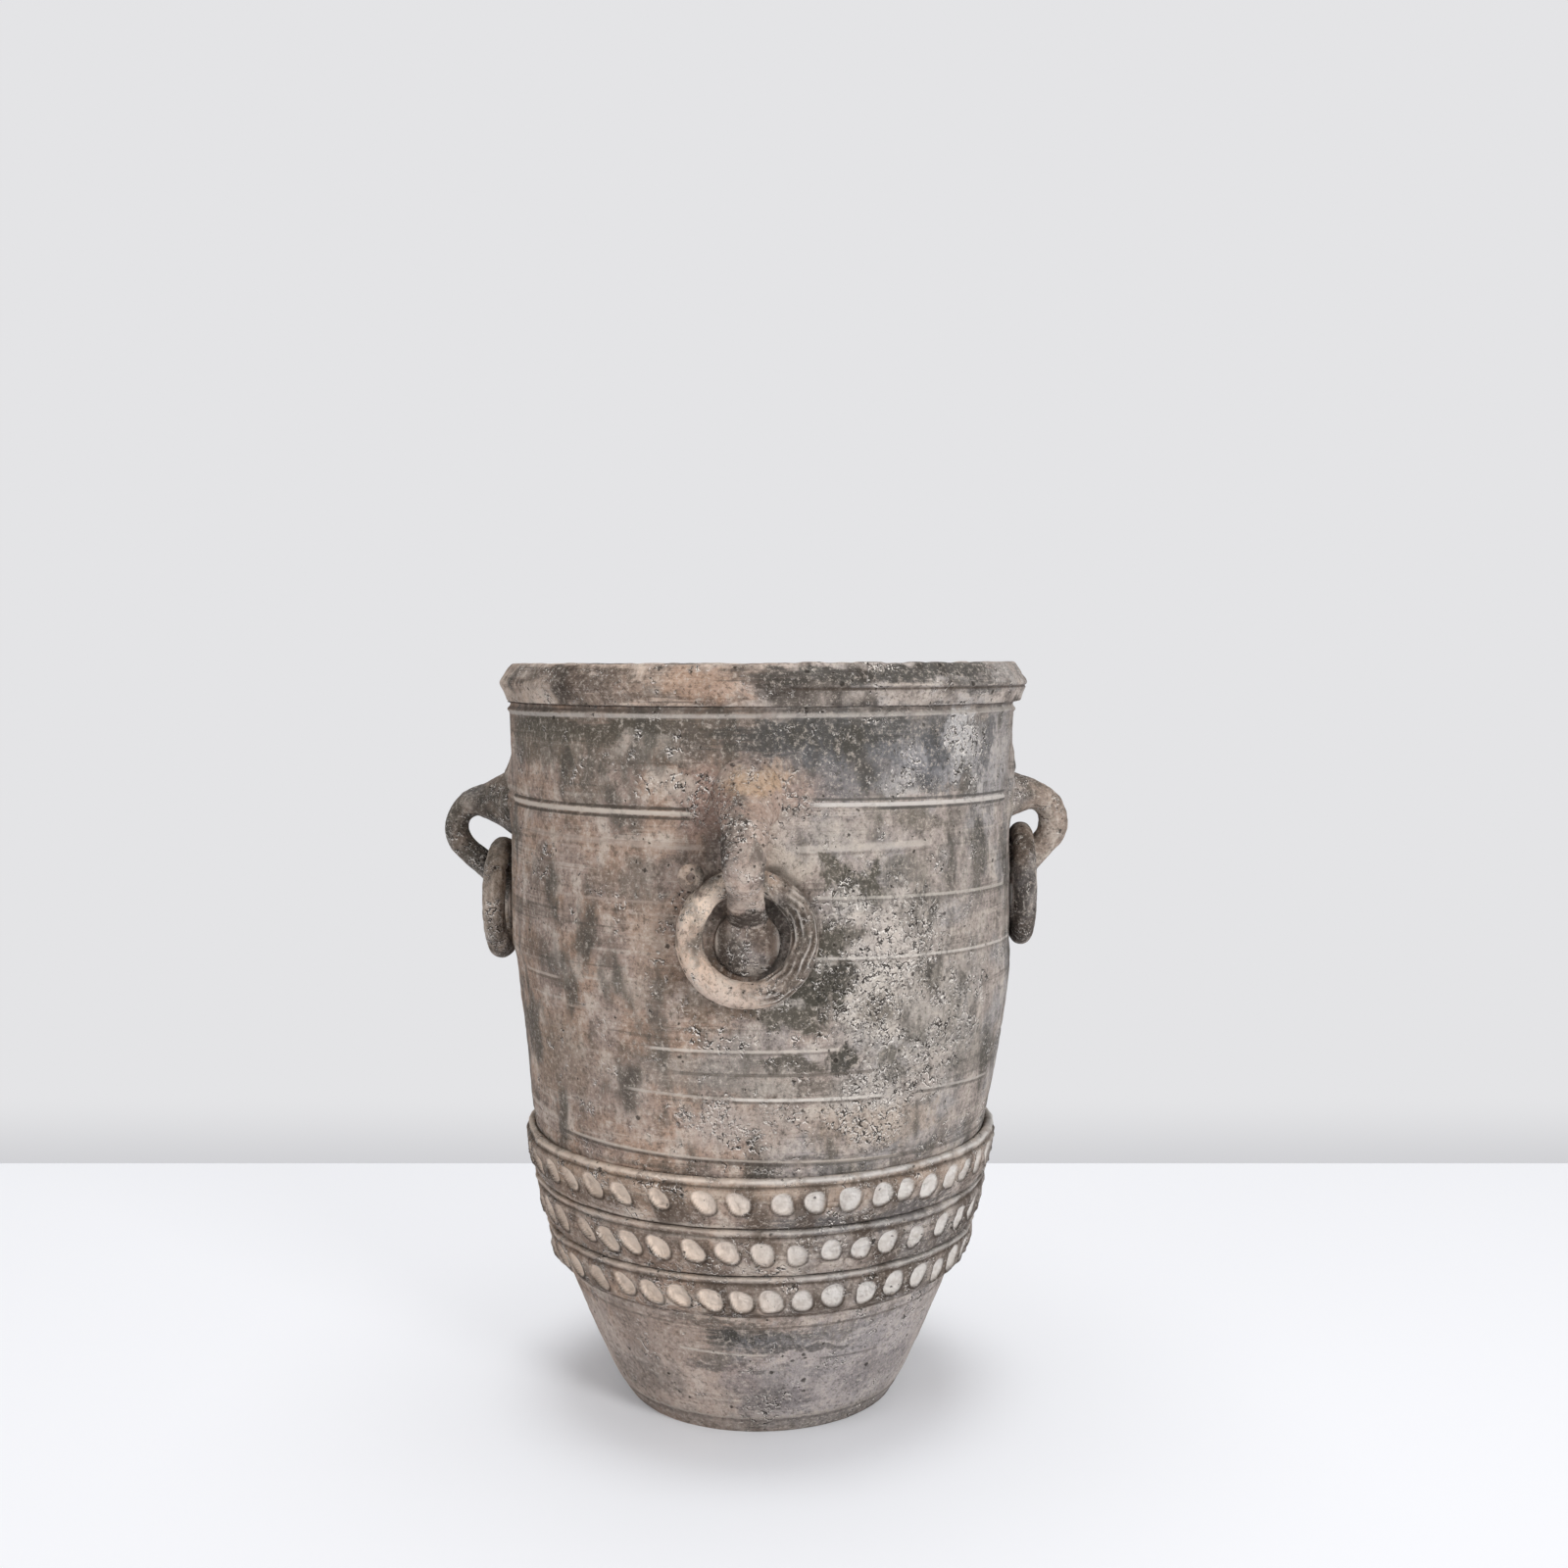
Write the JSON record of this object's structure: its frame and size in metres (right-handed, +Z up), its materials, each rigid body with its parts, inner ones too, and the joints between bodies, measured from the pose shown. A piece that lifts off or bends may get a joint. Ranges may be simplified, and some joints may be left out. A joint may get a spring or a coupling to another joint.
{
  "type": "clay vase",
  "caption": "Tall tapering clay jar with a bevelled rim, thumb-pressed bands and strap handles that hold loose swinging rings.",
  "frame": {"origin": "centre of the flat underside that the pot stands on", "axes": "+Z up along the pot's axis, -Y towards the front handle, +X towards the right handle"},
  "size_m": [0.4436, 0.45, 0.5205],
  "materials": {
    "pot": "matt fired clay with pale wash and grey smudges",
    "collar": "matt fired clay, charcoal to tan",
    "bands": "matt fired clay with pale thumb presses",
    "handle_front": "matt warm tan clay",
    "handle_right": "matt warm tan clay",
    "handle_back": "matt grey-brown clay",
    "handle_left": "matt dark mottled clay",
    "ring_front": "matt pale tan clay",
    "ring_right": "matt brown clay",
    "ring_back": "matt grey-brown clay",
    "ring_left": "matt dark brown clay"
  },
  "bodies": {
    "pot": {"pot_body": "pot", "rim_collar": "collar", "band_lower": "bands", "band_middle": "bands", "band_upper": "bands", "handle_front": "handle_front", "handle_right": "handle_right", "handle_back": "handle_back", "handle_left": "handle_left"},
    "front_ring": {"ring_front": "ring_front"},
    "right_ring": {"ring_right": "ring_right"},
    "back_ring": {"ring_back": "ring_back"},
    "left_ring": {"ring_left": "ring_left"}
  },
  "joints": [
    {"name": "front_ring_swing", "type": "hinge", "parent": "pot", "child": "front_ring", "pos_m": [0, -0.18604, 0.3883], "axis": [-1, 0, 0], "range_deg": [0, 170]},
    {"name": "right_ring_swing", "type": "hinge", "parent": "pot", "child": "right_ring", "pos_m": [0.18589, 0, 0.3995], "axis": [0, -1, 0], "range_deg": [0, 170]},
    {"name": "back_ring_swing", "type": "hinge", "parent": "pot", "child": "back_ring", "pos_m": [0, 0.18604, 0.3883], "axis": [1, 0, 0], "range_deg": [0, 170]},
    {"name": "left_ring_swing", "type": "hinge", "parent": "pot", "child": "left_ring", "pos_m": [-0.18604, 0, 0.3874], "axis": [0, 1, 0], "range_deg": [0, 170]}
  ]
}
